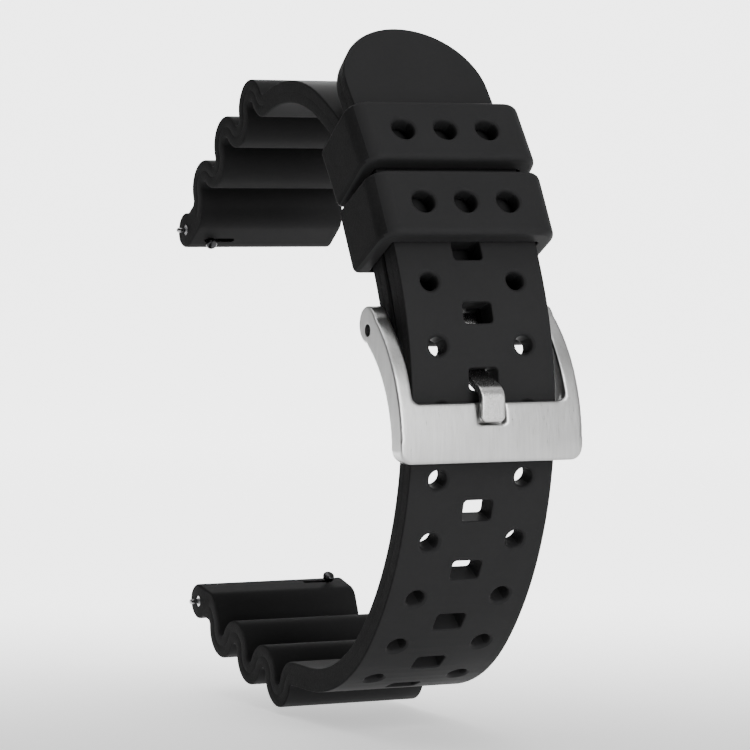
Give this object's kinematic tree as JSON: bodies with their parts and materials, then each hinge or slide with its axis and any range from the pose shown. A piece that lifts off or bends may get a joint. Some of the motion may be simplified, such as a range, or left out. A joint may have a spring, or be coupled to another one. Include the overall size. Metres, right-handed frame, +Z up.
{
  "type": "watch strap",
  "caption": "Wavy rubber dive-watch strap closed into a loop, with a steel pin buckle, two sliding keepers and quick-release lug bars.",
  "frame": {"origin": "middle of the upper lug bar, on its axis", "axes": "+Z up through the loop, +Y across the strap to its far edge, +X from the watch to the buckle"},
  "size_m": [0.075, 0.0252, 0.0897],
  "materials": {
    "rubber": "satin moulded",
    "steel": "fine brushed",
    "bar_steel": "turned",
    "spring_steel": "drawn wire"
  },
  "bodies": {
    "strap": {"buckle_strap": "rubber", "tail_strap": "rubber", "buckle_bar_tube": "bar_steel", "buckle_bar_spring": "spring_steel", "top_bar_tube": "bar_steel", "top_bar_fixed_pin": "bar_steel", "top_bar_spring": "spring_steel", "bottom_bar_tube": "bar_steel", "bottom_bar_fixed_pin": "bar_steel", "bottom_bar_spring": "spring_steel"},
    "frame": {"buckle_frame": "steel"},
    "tongue": {"buckle_tongue": "steel"},
    "upper_keeper_body": {"upper_keeper": "rubber"},
    "lower_keeper_body": {"lower_keeper": "rubber"},
    "buckle_near_pin": {"buckle_bar_near_pin": "bar_steel"},
    "buckle_far_pin": {"buckle_bar_far_pin": "bar_steel"},
    "top_release": {"top_bar_sliding_pin": "bar_steel", "top_release_knob": "bar_steel"},
    "bottom_release": {"bottom_bar_sliding_pin": "bar_steel", "bottom_release_knob": "bar_steel"}
  },
  "joints": [
    {"name": "frame_hinge", "type": "hinge", "parent": "strap", "child": "frame", "pos_m": [0.06282, 0, -0.01231], "axis": [0, -1, 0], "range_deg": [0, 3]},
    {"name": "tongue_hinge", "type": "hinge", "parent": "frame", "child": "tongue", "pos_m": [0.06282, 0, -0.01231], "axis": [0, -1, 0], "range_deg": [0, 3]},
    {"name": "upper_keeper_slide", "type": "hinge", "parent": "strap", "child": "upper_keeper_body", "pos_m": [-0.01065, 0, -0.03804], "axis": [0, 1, 0], "range_deg": [-0.068, 0.273]},
    {"name": "lower_keeper_slide", "type": "hinge", "parent": "strap", "child": "lower_keeper_body", "pos_m": [-0.01065, 0, -0.03804], "axis": [0, 1, 0], "range_deg": [0, 3.42]},
    {"name": "buckle_near_pin_slide", "type": "slide", "parent": "strap", "child": "buckle_near_pin", "axis": [0, 1, 0], "range_m": [0, 0.0015], "stiffness_N_per_m": 800, "springref_m": -0.002, "deforming": ["buckle_bar_spring"]},
    {"name": "buckle_far_pin_slide", "type": "slide", "parent": "strap", "child": "buckle_far_pin", "axis": [0, -1, 0], "range_m": [0, 0.0015], "stiffness_N_per_m": 800, "springref_m": -0.002, "deforming": ["buckle_bar_spring"]},
    {"name": "top_release_slide", "type": "slide", "parent": "strap", "child": "top_release", "axis": [0, 1, 0], "range_m": [0, 0.0015], "stiffness_N_per_m": 800, "springref_m": -0.002, "deforming": ["top_bar_spring"]},
    {"name": "bottom_release_slide", "type": "slide", "parent": "strap", "child": "bottom_release", "axis": [0, -1, 0], "range_m": [0, 0.0015], "stiffness_N_per_m": 800, "springref_m": -0.002, "deforming": ["bottom_bar_spring"]}
  ]
}
